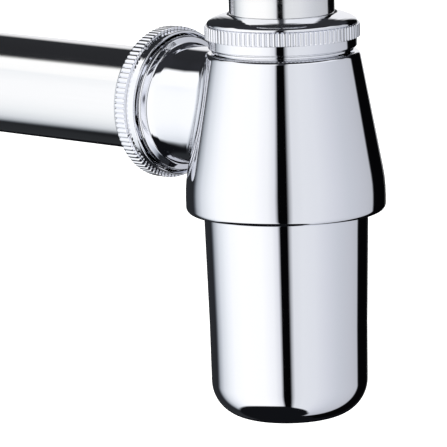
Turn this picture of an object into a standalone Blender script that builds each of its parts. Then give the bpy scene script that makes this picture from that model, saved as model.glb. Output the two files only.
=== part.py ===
"""Chromed bottle trap for a washbasin: 32 mm inlet tail, bell body, screw-off cup, 32 mm outlet pipe.

Every turned piece is drawn about its own +Z. The inlet pieces stand on the trap's vertical axis and the
outlet pieces on the horizontal one, which points along -X. World origin: the centre of the face that the
basin waste lands on. Metres, +Z up.
"""

import math

import bmesh
import bpy
from mathutils import Vector

MM = 0.001

# ---- driving sizes -------------------------------------------------------------------------------
PIPE_RADIUS = 16.0 * MM  # 32 mm tube, the same for the inlet tail and the outlet
PIPE_WALL = 1.0 * MM
THREAD_STEP = 4.955 * MM  # thread crests outside the tube: 41.91 mm across is a G 1 1/4 pipe thread
KNURL_TEETH = 90
KNURL_DEPTH = 0.65 * MM
KNURL_STEP = 1.045 * MM  # knurl tips outside the nut's skirt

TAIL_LENGTH = 120.0 * MM
SHOULDER_DEPTH = 72.0 * MM  # basin seat down to the top of the bell

BELL_TOP_STEP = 2.395 * MM  # bell's top edge outside the inlet thread
BELL_SKIRT = 5.5 * MM  # bell's widest edge outside the cup
BELL_TURN = 8.6 * MM  # up from the bell's foot to where its flank turns upright
BELL_TURN_ROUND = 48.0 * MM  # rounding of that turn
BELL_FOOT_ROUND = 2.0 * MM
BELL_WALL = 1.5 * MM

CUP_TOP_RADIUS = 25.0 * MM  # where the cup leaves the bell, and the major radius of its thread
CUP_TAPER = 1.2 * MM  # top radius less foot radius
CUP_CORNER_RADIUS = 11.0 * MM
CUP_WALL = 1.2 * MM
CUP_SUMP = 17.9 * MM  # dip sleeve's mouth down to the underside of the cup
CUP_JOINT_HEIGHT = 13.0 * MM  # gasket ledge down to the bell's foot

OUTLET_SHOULDER = 40.4 * MM  # trap's axis out to the outlet spigot's shoulder
OUTLET_PIPE_LENGTH = 200.0 * MM
SPIGOT_WALL = 1.8 * MM
WATER_SEAL = 60.0 * MM  # outlet's lowest inside point down to the dip sleeve's mouth

FLANGE_RADIUS = 33.0 * MM
FLANGE_RISE = 14.0 * MM
WALL_DISTANCE = 190.0 * MM  # trap's axis out to the wall

# ---- clearances and small sizes --------------------------------------------------------------------
TOUCH = 0.3 * MM  # between faces that meet in the real trap
PIPE_FIT = 0.3 * MM  # radial, seals and slip rings on a pipe
GUIDE_FIT = 0.4 * MM  # radial, the outlet pipe in its spigot
THREAD_FIT = 0.35 * MM  # radial, a female bore over a male thread's crests
SPIGOT_LENGTH = 8.6 * MM  # shoulder to mouth
SPIGOT_LEDGE = 4.3 * MM  # shoulder up to the ledge that the cone seal stands on
SPIGOT_DROP = 1.1 * MM  # bell's shoulder down to the top of the outlet spigot
SPIGOT_FILLET = 3.0 * MM  # between the outlet spigot's tube and the bell
PIPE_STOP = -10.0 * MM  # the outlet pipe's stop, and its end at rest, from the outlet spigot's shoulder
PIPE_END = -6.4 * MM
SLEEVE_WALL = 0.85 * MM
SLEEVE_FLANGE = 1.2 * MM
SEAL_WIDTH = 1.6 * MM
SEAL_LENGTH = 4.5 * MM
SLIP_RING = 0.8 * MM
NUT_WALL = 1.2 * MM
NUT_LIP = 1.5 * MM
NUT_MOUTH = 1.4 * MM  # spigot's shoulder up to the tightened nut's mouth
NUT_BAND = (4.35 * MM, 8.5 * MM)  # foot and top of the knurl, from the same shoulder
UNION_THREAD = 9.0 * MM  # how far the basin waste screws into the union nut
WASHER = 2.0 * MM
COLLAR_HEIGHT = 3.0 * MM
COLLAR_STEP = 3.2 * MM  # tail collar, and the slip rings, outside the tube
BELL_SHOULDER_ROUND = 1.5 * MM
CUP_LEDGE = 1.4 * MM
CUP_GASKET = 1.8 * MM
CUP_SLIP_RING = 0.8 * MM
CUP_THREAD_DEPTH = 1.4 * MM

SEGMENTS = 36  # round metal pieces
SOFT_SEGMENTS = 24  # seals, slip rings and the plastic sleeve

# ---- sizes that follow ------------------------------------------------------------------------------
PIPE_BORE = PIPE_RADIUS - PIPE_WALL
RING_BORE = PIPE_RADIUS + PIPE_FIT
THREAD_RADIUS = PIPE_RADIUS + THREAD_STEP
SPIGOT_COUNTERBORE = RING_BORE + SEAL_WIDTH + TOUCH
NUT_BORE = THREAD_RADIUS + THREAD_FIT
NUT_RADIUS = NUT_BORE + NUT_WALL
KNURL_TIP_RADIUS = NUT_RADIUS + KNURL_STEP
LIP_BORE = PIPE_RADIUS + 2 * PIPE_FIT
COLLAR_RADIUS = PIPE_RADIUS + COLLAR_STEP
SEAL_FOOT = SPIGOT_LEDGE + TOUCH
SEAL_TOP = SEAL_FOOT + SEAL_LENGTH
SLIP_FOOT = SEAL_TOP + TOUCH
LIP_FOOT = SLIP_FOOT + SLIP_RING + TOUCH
NUT_TOP = LIP_FOOT + NUT_LIP
SLEEVE_BORE = PIPE_RADIUS + PIPE_FIT
SLEEVE_RADIUS = SLEEVE_BORE + SLEEVE_WALL
SPIGOT_NECK = THREAD_RADIUS - 1.65 * MM  # inlet spigot where it passes through the bell's top
PIPE_GUIDE = PIPE_RADIUS + GUIDE_FIT
SPIGOT_TUBE_RADIUS = PIPE_GUIDE + SPIGOT_WALL
OUTLET_BORE = PIPE_BORE - 0.2 * MM
OUTLET_DROP = SPIGOT_TUBE_RADIUS + SPIGOT_DROP  # shoulder down to the outlet's axis
SPIGOT_INNER_END = -OUTLET_SHOULDER + 12.0 * MM  # inside the bell, from the outlet spigot's shoulder
SLEEVE_FOOT = OUTLET_DROP + PIPE_BORE + WATER_SEAL
CUP_LEDGE_DEPTH = OUTLET_DROP + PIPE_BORE + 1.5 * MM  # shoulder down to the ledge under the cup's gasket
BELL_HEIGHT = CUP_LEDGE_DEPTH + CUP_JOINT_HEIGHT
BELL_TURN_DEPTH = BELL_HEIGHT - BELL_TURN
BELL_TOP_RADIUS = THREAD_RADIUS + BELL_TOP_STEP
BELL_WIDEST_RADIUS = CUP_TOP_RADIUS + BELL_SKIRT
FLANK_SLOPE = (BELL_WIDEST_RADIUS - BELL_TOP_RADIUS) / BELL_TURN_DEPTH
CUP_LIP_BORE = CUP_TOP_RADIUS + THREAD_FIT + 0.1 * MM
CUP_FOOT_RADIUS = CUP_TOP_RADIUS - CUP_TAPER
CUP_REACH = SLEEVE_FOOT + CUP_SUMP
CUP_NECK_RADIUS = CUP_TOP_RADIUS - CUP_THREAD_DEPTH
CUP_NECK_BORE = CUP_NECK_RADIUS - CUP_WALL
GASKET_TOP = CUP_LEDGE_DEPTH + CUP_LEDGE + TOUCH  # depths under the shoulder
CUP_SLIP_TOP = GASKET_TOP + CUP_GASKET + TOUCH
CUP_RIM = CUP_SLIP_TOP + CUP_SLIP_RING + TOUCH
CUP_THREAD_TOP = CUP_RIM + TOUCH
CUP_THREAD_FOOT = BELL_HEIGHT - 2.0 * MM


def arc(centre, radius, start_deg, end_deg, steps):
    """Points of a round stretch, as (radius from the axis, height), from start to end."""
    turns = [math.radians(start_deg + (end_deg - start_deg) * i / steps) for i in range(steps + 1)]
    return [(centre[0] + radius * math.cos(a), centre[1] + radius * math.sin(a)) for a in turns]


def flank_radius(depth, offset=0.0):
    """The bell's outer radius at a depth under its shoulder."""
    return BELL_TOP_RADIUS + FLANK_SLOPE * depth + offset


# ---- materials --------------------------------------------------------------------------------------
def material(name, colour, roughness, metallic):
    made = bpy.data.materials.new(name)
    made.use_nodes = True
    shader = made.node_tree.nodes["Principled BSDF"]
    shader.inputs["Base Color"].default_value = (*colour, 1.0)
    shader.inputs["Roughness"].default_value = roughness
    shader.inputs["Metallic"].default_value = metallic
    return made


def make_materials():
    return {
        "chrome": material("chrome_plate", (0.86, 0.87, 0.89), 0.04, 1.0),
        "brushed": material("brushed_chrome_tube", (0.84, 0.85, 0.87), 0.12, 1.0),
        "rubber": material("black_rubber", (0.02, 0.02, 0.022), 0.6, 0.0),
        "nylon": material("white_nylon", (0.85, 0.85, 0.82), 0.4, 0.0),
        "sleeve": material("grey_polypropylene", (0.62, 0.63, 0.64), 0.45, 0.0),
        "brass": material("raw_brass", (0.72, 0.53, 0.25), 0.3, 1.0),
    }


# ---- building tools ---------------------------------------------------------------------------------
def clear_scene():
    for thing in list(bpy.data.objects):
        bpy.data.objects.remove(thing)


def collection(name):
    made = bpy.data.collections.new(name)
    bpy.context.scene.collection.children.link(made)
    return made


def empty(name, parent, location, rotation=(0, 0, 0)):
    made = bpy.data.objects.new(name, None)
    PARTS.objects.link(made)
    made.parent = parent
    made.location = location
    made.rotation_euler = rotation
    return made


def lathe(name, profile, parent, finish, segments=SEGMENTS, closed=True, group=None):
    """A turned piece. The profile runs down the outer side and up the inner one, about the local Z."""
    mesh = bpy.data.meshes.new(name)
    joined = [(i, i + 1) for i in range(len(profile) - 1)]
    if closed:
        joined.append((len(profile) - 1, 0))
    mesh.from_pydata([(r, 0, z) for r, z in profile], joined, [])
    made = bpy.data.objects.new(name, mesh)
    (group or PARTS).objects.link(made)
    made.parent = parent
    turn = made.modifiers.new("turn", "SCREW")
    turn.angle = math.tau
    turn.steps = turn.render_steps = segments
    turn.use_merge_vertices = True
    turn.merge_threshold = 1e-5
    mesh.materials.append(MATERIALS[finish])
    return made


def ring(name, inner, outer, foot, top, parent, finish, segments=SOFT_SEGMENTS):
    profile = [(outer, top), (outer, foot), (inner, foot), (inner, top)]
    return lathe(name, profile, parent, finish, segments)


def cutter(name, profile, parent, closed=False):
    """A solid of revolution that only cuts or joins: its profile starts and ends on the axis."""
    made = lathe(name, profile, parent, "chrome", closed=closed, group=CUTTERS)
    return helper(made)


def helper(made):
    """Marks a solid that only shapes others."""
    made.hide_render = True
    made.display_type = "WIRE"
    return made


def combine(piece, other, operation):
    step = piece.modifiers.new(other.name, "BOOLEAN")
    step.operation = operation
    step.solver = "EXACT"
    step.object = other


# ---- the pieces -------------------------------------------------------------------------------------
def knurl_band(name, foot, top, parent):
    """The toothed band of a nut: a flat outline with straight teeth, as thick as the band is high."""
    outline = bpy.data.curves.new(name, "CURVE")
    outline.dimensions = "2D"
    outline.fill_mode = "BOTH"
    outline.extrude = (top - foot) / 2
    toothed = outline.splines.new("POLY")
    toothed.points.add(2 * KNURL_TEETH - 1)
    for i, point in enumerate(toothed.points):
        r = KNURL_TIP_RADIUS - (KNURL_DEPTH if i % 2 else 0)
        a = math.tau * i / (2 * KNURL_TEETH)
        point.co = (r * math.cos(a), r * math.sin(a), 0, 1)
    hole = outline.splines.new("POLY")
    hole.points.add(SEGMENTS - 1)
    for i, point in enumerate(hole.points):
        a = math.tau * i / SEGMENTS
        r = NUT_BORE + NUT_WALL / 2
        point.co = (r * math.cos(a), r * math.sin(a), 0, 1)
    toothed.use_cyclic_u = hole.use_cyclic_u = True
    drawn = bpy.data.objects.new(name + "_outline", outline)
    CUTTERS.objects.link(drawn)
    bpy.context.view_layer.update()
    graph = bpy.context.evaluated_depsgraph_get()
    mesh = bpy.data.meshes.new_from_object(drawn.evaluated_get(graph))
    bpy.data.objects.remove(drawn)
    joined = bmesh.new()
    joined.from_mesh(mesh)
    bmesh.ops.remove_doubles(joined, verts=joined.verts, dist=1e-6)
    joined.to_mesh(mesh)
    joined.free()
    made = bpy.data.objects.new(name, mesh)
    CUTTERS.objects.link(made)
    made.parent = parent
    made.location = (0, 0, (foot + top) / 2)
    return helper(made)


def knurled_nut(name, parent, mouth, band):
    """A ring nut that grips a pipe joint: open threaded mouth below, knurled band, rounded lip on top."""
    band_foot, band_top = band
    cavity = COLLAR_RADIUS + 2 * TOUCH
    dome_foot = KNURL_TIP_RADIUS - KNURL_DEPTH
    dome_round = 2.4 * MM
    dome_edge = NUT_TOP - 1.1 * MM
    profile = [
        (LIP_BORE, NUT_TOP - 0.3 * MM),
        (LIP_BORE + 0.3 * MM, NUT_TOP),
        (LIP_BORE + 1.0 * MM, NUT_TOP - 0.15 * MM),
        *arc((dome_foot - dome_round, dome_edge - dome_round), dome_round, 80, 0, 5),
        (dome_foot, band_top),
        (NUT_RADIUS, band_foot),
        (NUT_RADIUS, mouth + 0.4 * MM),
        (NUT_RADIUS - 0.4 * MM, mouth),
        (NUT_BORE, mouth),
        (NUT_BORE, SEAL_TOP),
        (cavity, SEAL_TOP + TOUCH),
        (cavity, LIP_FOOT),
        (LIP_BORE, LIP_FOOT),
    ]
    made = lathe(name, profile, parent, "chrome")
    combine(made, knurl_band(name + "_knurl", band_foot, band_top, parent), "UNION")
    return made


def compression_seals(side, parent):
    """The soft pieces of a pipe joint: the rubber cone in the spigot's mouth and the slip ring on it."""
    waist = SPIGOT_COUNTERBORE - TOUCH
    brim = waist + 1.0 * MM
    mouth_top = SPIGOT_LENGTH + 0.25 * MM
    cone = [
        (brim, SEAL_TOP),
        (brim, mouth_top),
        (waist, mouth_top - 1.0 * MM),
        (waist, SEAL_FOOT),
        (RING_BORE, SEAL_FOOT),
        (RING_BORE, SEAL_TOP),
    ]
    lathe(side + "_cone_seal", cone, parent, "rubber", SOFT_SEGMENTS)
    ring(
        side + "_slip_ring",
        RING_BORE,
        COLLAR_RADIUS,
        SLIP_FOOT,
        SLIP_FOOT + SLIP_RING,
        parent,
        "nylon",
    )


def spigot_outside(shoulder, shoulder_height):
    """The threaded end that both spigots share, from the mouth down to the shoulder's underside."""
    chamfer = 0.7 * MM
    return [
        (THREAD_RADIUS - chamfer, SPIGOT_LENGTH),
        (THREAD_RADIUS, SPIGOT_LENGTH - chamfer),
        (THREAD_RADIUS, 1.0 * MM),
        (shoulder, 1.0 * MM),
        (shoulder, 1.0 * MM - shoulder_height),
    ]


def spigot_mouth(ledge):
    """The seat that both spigots share, from the ledge up to the mouth."""
    flare = 0.9 * MM
    return [
        (SPIGOT_COUNTERBORE, ledge),
        (SPIGOT_COUNTERBORE, SPIGOT_LENGTH - flare),
        (SPIGOT_COUNTERBORE + flare, SPIGOT_LENGTH),
    ]


def inlet_spigot(parent):
    bore = SLEEVE_RADIUS + TOUCH
    foot = -BELL_WALL - 1.5 * MM
    ledge = SPIGOT_LEDGE - SLEEVE_FLANGE - TOUCH
    profile = [
        *spigot_outside(THREAD_RADIUS + 0.6 * MM, 1.0 * MM - TOUCH),
        (SPIGOT_NECK, TOUCH),
        (SPIGOT_NECK, foot),
        (bore, foot),
        (bore, ledge),
        *spigot_mouth(ledge),
    ]
    lathe("inlet_spigot", profile, parent, "chrome")


def dip_sleeve(parent):
    flange_top = SPIGOT_LEDGE
    flange_foot = SPIGOT_LEDGE - SLEEVE_FLANGE
    profile = [
        (SPIGOT_COUNTERBORE - TOUCH, flange_top),
        (SPIGOT_COUNTERBORE - TOUCH, flange_foot),
        (SLEEVE_RADIUS, flange_foot),
        (SLEEVE_RADIUS, -SLEEVE_FOOT + 0.5 * MM),
        (SLEEVE_RADIUS - 0.4 * MM, -SLEEVE_FOOT),
        (SLEEVE_BORE, -SLEEVE_FOOT),
        (SLEEVE_BORE, flange_top),
    ]
    lathe("dip_sleeve", profile, parent, "sleeve", SOFT_SEGMENTS)


def spigot_fillet(outlet):
    """A ring that rounds the corner between the spigot's tube and the bell, as a rolling ball would."""
    around, along = 48, 5
    ball = SPIGOT_FILLET
    steep = math.hypot(1, FLANK_SLOPE)
    solid = bmesh.new()
    sections = []
    for i in range(around):
        turn = math.tau * i / around
        side, drop = math.cos(turn), math.sin(turn)
        reach = SPIGOT_TUBE_RADIUS + ball
        y = reach * side
        depth = OUTLET_DROP + reach * drop
        ball_radius = flank_radius(depth, ball * steep)
        x = math.sqrt(ball_radius**2 - y**2)
        to_tube = Vector((0, -side, -drop))
        to_bell = Vector((-x / ball_radius, -y / ball_radius, FLANK_SLOPE)) / steep
        centre = Vector((x, y, depth))
        bent = [to_tube.slerp(to_bell, k / along) * ball + centre for k in range(along + 1)]
        sunk = [bent[-1] + to_bell * MM, bent[0] + (to_tube - Vector((1, 0, 0))) * 2 * MM]
        placed = [(OUTLET_DROP - p.z, p.y, p.x - OUTLET_SHOULDER) for p in bent + sunk]
        sections.append([solid.verts.new(place) for place in placed])
    for here, ahead in zip(sections, sections[1:] + sections[:1]):
        for k in range(len(here)):
            solid.faces.new((here[k - 1], here[k], ahead[k], ahead[k - 1]))
    bmesh.ops.recalc_face_normals(solid, faces=solid.faces)
    mesh = bpy.data.meshes.new("spigot_fillet")
    solid.to_mesh(mesh)
    solid.free()
    made = bpy.data.objects.new("spigot_fillet", mesh)
    CUTTERS.objects.link(made)
    made.parent = outlet
    return helper(made)


def outlet_spigot(housing, outlet):
    """A threaded stub that meets the bell in a rounded corner, cut to the bell's own taper."""
    outside = [
        (0, SPIGOT_LENGTH),
        *spigot_outside(THREAD_RADIUS - 0.1 * MM, 1.4 * MM),
        (SPIGOT_TUBE_RADIUS, -0.4 * MM),
        (SPIGOT_TUBE_RADIUS, SPIGOT_INNER_END),
        (0, SPIGOT_INNER_END),
    ]
    made = lathe("outlet_spigot", outside, outlet, "chrome", closed=False)
    fillet = spigot_fillet(outlet)
    wide = 2 * BELL_WIDEST_RADIUS
    below = BELL_HEIGHT - 4.0 * MM
    slab = [(0, -TOUCH), (wide, -TOUCH), (wide, -below), (0, -below)]
    combine(fillet, cutter("fillet_limit", slab, housing), "INTERSECT")
    combine(made, fillet, "UNION")
    envelope = [
        (0, TOUCH),
        *shoulder_round(TOUCH),
        (flank_radius(below, TOUCH), -below),
        (0, -below),
    ]
    combine(made, cutter("bell_envelope", envelope, housing), "DIFFERENCE")
    beyond = SPIGOT_LENGTH + MM
    seat = spigot_mouth(SPIGOT_LEDGE)
    waterway = [
        (0, beyond),
        (seat[-1][0], beyond),
        *reversed(seat),
        (PIPE_GUIDE, SPIGOT_LEDGE),
        (PIPE_GUIDE, PIPE_STOP),
        (OUTLET_BORE, PIPE_STOP),
        (OUTLET_BORE, SPIGOT_INNER_END - MM),
        (0, SPIGOT_INNER_END - MM),
    ]
    combine(made, cutter("spigot_waterway", waterway, outlet), "DIFFERENCE")


def shoulder_round(offset=0.0):
    """The bell's rounded top edge, from the flat top over to the flank."""
    lean = math.degrees(math.atan(FLANK_SLOPE))
    bend = BELL_SHOULDER_ROUND
    return arc((flank_radius(bend) - bend, -bend), bend + offset, 90, lean, 4)


def bell_shell(housing, outlet):
    """The bell: rounded shoulder, straight flank that turns upright near its foot, and an open mouth."""
    hole = SPIGOT_NECK + TOUCH
    lean = math.atan(FLANK_SLOPE)
    turn_reach = BELL_TURN_ROUND * math.tan(lean / 2)
    turn_centre = (BELL_WIDEST_RADIUS - BELL_TURN_ROUND, -BELL_TURN_DEPTH - turn_reach)
    foot_centre = (BELL_WIDEST_RADIUS - BELL_FOOT_ROUND, -BELL_HEIGHT + BELL_FOOT_ROUND)
    outer = [
        *shoulder_round(),
        *arc(turn_centre, BELL_TURN_ROUND, math.degrees(lean), 0, 3),
        *arc(foot_centre, BELL_FOOT_ROUND, 0, -90, 5),
        (CUP_LIP_BORE, -BELL_HEIGHT),
        (CUP_LIP_BORE, -BELL_HEIGHT + 1.3 * MM),
    ]
    inside_foot = BELL_TURN_DEPTH + turn_reach
    inside_edge = BELL_WIDEST_RADIUS - BELL_WALL
    inside_top = BELL_TOP_RADIUS - BELL_WALL
    inner = [
        (inside_edge - 1.0 * MM, -BELL_HEIGHT + 1.9 * MM),
        (inside_edge - 0.1 * MM, -inside_foot),
        (flank_radius(BELL_TURN_DEPTH - turn_reach) - BELL_WALL, -BELL_TURN_DEPTH + turn_reach),
        (inside_top, -BELL_WALL - 0.8 * MM),
        (inside_top - 0.6 * MM, -BELL_WALL),
        (hole, -BELL_WALL),
        (hole, 0),
    ]
    made = lathe("bell_shell", outer + inner, housing, "chrome")
    port = [(0, 0), (OUTLET_BORE, 0), (OUTLET_BORE, SPIGOT_INNER_END), (0, SPIGOT_INNER_END)]
    combine(made, cutter("bell_port", port, outlet), "DIFFERENCE")


def cup_joint(housing):
    """The threaded seat inside the bell, then the gasket and slip ring that the cup's rim tightens on."""
    bore = CUP_TOP_RADIUS + THREAD_FIT
    foot = BELL_HEIGHT - 2.7 * MM
    lower_edge = foot - 3.0 * MM
    top = CUP_LEDGE_DEPTH
    outside = flank_radius(top) - BELL_WALL - 3 * TOUCH
    profile = [
        (outside, -top),
        (outside + 0.6 * MM, -lower_edge),
        (bore + 1.6 * MM, -foot),
        (bore, -foot),
        (bore, -top - CUP_LEDGE),
        (CUP_NECK_BORE, -top - CUP_LEDGE),
        (CUP_NECK_BORE, -top),
    ]
    lathe("cup_seat_ring", profile, housing, "brass")
    edge = CUP_TOP_RADIUS - 0.1 * MM
    gasket_foot = -GASKET_TOP - CUP_GASKET
    ring("cup_gasket", CUP_NECK_BORE, edge, gasket_foot, -GASKET_TOP, housing, "rubber")
    slip_foot = -CUP_SLIP_TOP - CUP_SLIP_RING
    ring("cup_slip_ring", CUP_NECK_BORE, edge, slip_foot, -CUP_SLIP_TOP, housing, "nylon")


def cup(housing):
    """The drawn cup, necked in for the threaded ring that is brazed round its rim."""
    corner = (CUP_FOOT_RADIUS - CUP_CORNER_RADIUS, -CUP_REACH + CUP_CORNER_RADIUS)
    outer = [
        (CUP_NECK_RADIUS, -CUP_RIM),
        (CUP_NECK_RADIUS, -CUP_THREAD_FOOT - TOUCH),
        (CUP_TOP_RADIUS, -BELL_HEIGHT + 0.3 * MM),
        *arc(corner, CUP_CORNER_RADIUS, 0, -90, 8),
        (0, -CUP_REACH),
    ]
    inner = [
        (0, -CUP_REACH + CUP_WALL),
        *arc(corner, CUP_CORNER_RADIUS - CUP_WALL, -90, 0, 5),
        (CUP_TOP_RADIUS - CUP_WALL, -BELL_HEIGHT - 1.0 * MM),
        (CUP_NECK_BORE, -CUP_THREAD_FOOT - 1.0 * MM),
        (CUP_NECK_BORE, -CUP_RIM),
    ]
    lathe("cup_shell", outer + inner, housing, "chrome")
    inside = CUP_NECK_RADIUS + TOUCH
    top = -CUP_THREAD_TOP
    ring("cup_thread_ring", inside, CUP_TOP_RADIUS, -CUP_THREAD_FOOT, top, housing, "brass", SEGMENTS)


def inlet_tail(parent):
    """The tail with its collar, and the washer that the basin waste lands on."""
    top = -WASHER - TOUCH
    ring("basin_washer", PIPE_BORE - 0.4 * MM, COLLAR_RADIUS + 0.4 * MM, -WASHER, 0, parent, "rubber")
    profile = [
        (PIPE_RADIUS, top),
        (PIPE_RADIUS, top - TAIL_LENGTH),
        (PIPE_BORE, top - TAIL_LENGTH),
        (PIPE_BORE, top),
    ]
    lathe("tail_pipe", profile, parent, "brushed")
    foot = top - COLLAR_HEIGHT
    ring("tail_collar", PIPE_RADIUS + TOUCH, COLLAR_RADIUS, foot, top, parent, "brass", SEGMENTS)
    return foot


def union_joint(collar_foot, parent):
    """The union nut that hangs on the tail's collar, with its slip ring. It is a joint nut upside down."""
    shoulder = collar_foot - TOUCH + SLIP_FOOT
    lip = empty("union_axis", parent, (0, 0, shoulder), (math.pi, 0, 0))
    ring(
        "union_slip_ring",
        RING_BORE,
        COLLAR_RADIUS,
        SLIP_FOOT,
        SLIP_FOOT + SLIP_RING,
        lip,
        "nylon",
    )
    mouth = shoulder - UNION_THREAD
    middle = (mouth + NUT_TOP) / 2
    knurled_nut("union_nut", lip, mouth, (middle - 2.6 * MM, middle + 2.6 * MM))


def outlet_pipe(outlet):
    foot = PIPE_END
    profile = [
        (PIPE_RADIUS, foot + OUTLET_PIPE_LENGTH),
        (PIPE_RADIUS, foot),
        (PIPE_BORE, foot),
        (PIPE_BORE, foot + OUTLET_PIPE_LENGTH),
    ]
    lathe("outlet_pipe", profile, outlet, "brushed")


def wall_flange(outlet):
    """The pressed cover plate against the wall, and the rubber ring that holds it on the pipe."""
    wall = WALL_DISTANCE - OUTLET_SHOULDER
    sheet = 1.0 * MM
    rim = 2.2 * MM  # width of the edge that lies on the wall
    collar = PIPE_RADIUS + 3.2 * MM
    collar_top = wall - FLANGE_RISE
    collar_foot = wall - FLANGE_RISE + 6.0 * MM
    dish = arc((collar + 3.0 * MM, collar_foot), 3.0 * MM, 180, 90, 3)
    profile = [
        (FLANGE_RADIUS, wall),
        (FLANGE_RADIUS, wall - 1.5 * MM),
        *reversed(dish),
        (collar, collar_top + 0.8 * MM),
        (collar - 0.8 * MM, collar_top),
        (LIP_BORE, collar_top),
        (LIP_BORE, collar_top + sheet),
        (collar - sheet, collar_top + sheet),
        (collar - sheet, collar_foot + 3.0 * MM + sheet),
        (FLANGE_RADIUS - rim, wall - 1.0 * MM),
        (FLANGE_RADIUS - rim, wall),
    ]
    lathe("wall_flange", profile, outlet, "chrome")
    section = 0.9 * MM
    centre = (RING_BORE + section, collar_foot)
    round_section = arc(centre, section, 90, -210, 5)
    lathe("flange_grip_ring", round_section, outlet, "rubber", SOFT_SEGMENTS)


clear_scene()
PARTS = collection("bottle_trap")
CUTTERS = collection("cutters")
MATERIALS = make_materials()

inlet_axis = empty("inlet_axis", None, (0, 0, 0))
housing_axis = empty("housing_axis", inlet_axis, (0, 0, -SHOULDER_DEPTH))
outlet_axis = empty(
    "outlet_axis", housing_axis, (-OUTLET_SHOULDER, 0, -OUTLET_DROP), (0, -math.pi / 2, 0)
)

union_joint(inlet_tail(inlet_axis), inlet_axis)
for side, joint_axis in (("inlet", housing_axis), ("outlet", outlet_axis)):
    compression_seals(side, joint_axis)
    knurled_nut(side + "_nut", joint_axis, NUT_MOUTH, NUT_BAND)
inlet_spigot(housing_axis)
dip_sleeve(housing_axis)
bell_shell(housing_axis, outlet_axis)
outlet_spigot(housing_axis, outlet_axis)
cup_joint(housing_axis)
cup(housing_axis)
outlet_pipe(outlet_axis)
wall_flange(outlet_axis)
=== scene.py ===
"""Finished look of a chromed bottle trap for a washbasin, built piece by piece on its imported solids.

Every round piece is a turned outline in millimetres about its own axis: radius first, height second,
and a third number where a corner is rounded. Heights on a pipe joint start at its spigot's shoulder.
"""

import math

import bmesh
import bpy
from bpy.props import FloatProperty, FloatVectorProperty, IntProperty, PointerProperty
from mathutils import Matrix, Vector


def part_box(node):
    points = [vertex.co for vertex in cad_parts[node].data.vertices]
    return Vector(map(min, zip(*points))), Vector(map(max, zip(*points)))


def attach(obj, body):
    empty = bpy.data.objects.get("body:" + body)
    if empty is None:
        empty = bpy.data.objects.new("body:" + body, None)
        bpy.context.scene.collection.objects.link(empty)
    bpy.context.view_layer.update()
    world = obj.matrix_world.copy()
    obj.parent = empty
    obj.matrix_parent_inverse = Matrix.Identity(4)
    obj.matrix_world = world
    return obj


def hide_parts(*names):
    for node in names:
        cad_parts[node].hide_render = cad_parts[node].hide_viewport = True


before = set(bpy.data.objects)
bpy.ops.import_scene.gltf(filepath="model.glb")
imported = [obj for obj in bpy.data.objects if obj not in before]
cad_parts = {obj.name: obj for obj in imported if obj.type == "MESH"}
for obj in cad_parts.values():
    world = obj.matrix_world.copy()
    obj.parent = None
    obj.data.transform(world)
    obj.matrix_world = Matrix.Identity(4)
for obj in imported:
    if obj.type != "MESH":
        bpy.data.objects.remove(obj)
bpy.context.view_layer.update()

bl_info = {
    "name": "Chromed Bottle Trap",
    "version": (1, 0, 0),
    "blender": (4, 5, 0),
    "location": "3D View > Sidebar > Bottle Trap",
    "description": "Builds the finished pieces of a chromed bottle trap on its packed solids",
    "category": "Object",
}

MM = 0.001
PITCH = 2.309  # mm, 11 threads to the inch
NUT_TOP = 12.0  # mm, top of a tightened nut's lip above its spigot's shoulder
AROUND = 192  # facets round a turned piece
BELL_TURN = 8.6  # mm, up from the bell's foot to where its flank turns upright
CROWN_WIDTH = 5.6  # mm, a nut's domed top, in from its edge
CROWN_HEIGHT = 3.25  # mm, that dome's top above the knurl
CROWN_FOOT = 0.33  # mm, where the dome starts above the knurl
CROWN_STEPS = 8
AIM_LEFT = 19.16  # mm, camera's aim to the left of the trap's axis
AIM_DROP = 52.52  # mm, and below the inlet spigot's shoulder


def linear(hex_colour):
    """An sRGB hex colour as linear red, green, blue and full alpha."""
    levels = [int(hex_colour[i : i + 2], 16) / 255 for i in (0, 2, 4)]
    return [v / 12.92 if v <= 0.04045 else ((v + 0.055) / 1.055) ** 2.4 for v in levels] + [1.0]


def low(node):
    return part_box(node)[0]


def high(node):
    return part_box(node)[1]


# ---- sizes and colours a user may change -------------------------------------------------------------
def length(name, description, default):
    return FloatProperty(
        name=name, description=description, default=default, min=0.0, unit="LENGTH", subtype="DISTANCE"
    )


def colour(name, description, hex_colour):
    return FloatVectorProperty(
        name=name,
        description=description,
        default=linear(hex_colour)[:3],
        size=3,
        min=0.0,
        max=1.0,
        subtype="COLOR",
    )


class TubeSizes(bpy.types.PropertyGroup):
    """The two 32 mm tubes"""

    radius: length(
        "Tube radius",
        "Outside radius of the tail and of the outlet pipe",
        (high("tail_pipe").x - low("tail_pipe").x) / 2,
    )
    wall: length("Tube wall", "Thickness of both tubes", 1.0 * MM)
    collar_step: length("Collar step", "How far the tail's brass collar stands out", 3.2 * MM)


class NutSizes(bpy.types.PropertyGroup):
    """The three knurled nuts and the threads under them"""

    thread_radius: length("Thread radius", "Major radius of the pipe thread", 20.955 * MM)
    thread_depth: length("Thread depth", "Crest to root of every pipe thread", 0.9 * MM)
    teeth: IntProperty(
        name="Knurl ridges", description="Ridges round the knurled band", default=90, min=12
    )
    tip_radius: length(
        "Knurl radius",
        "Radius over the knurl's ridges",
        (high("inlet_nut").x - low("inlet_nut").x) / 2,
    )
    knurl_depth: length("Knurl depth", "Ridge top to the floor between ridges", 0.6 * MM)


class BellSizes(bpy.types.PropertyGroup):
    """The bell and its outlet spigot"""

    top_radius: length("Top radius", "Radius of the bell's top edge", 23.35 * MM)
    widest_radius: length("Widest radius", "Radius of the bell's lower edge", high("bell_shell").x)
    wall: length("Wall", "Thickness of the bell", 1.5 * MM)
    spigot_radius: length("Spigot radius", "Outside radius of the outlet spigot's tube", 18.2 * MM)
    fillet: length("Fillet", "Rounding between the outlet spigot and the bell", 3.0 * MM)


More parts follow.
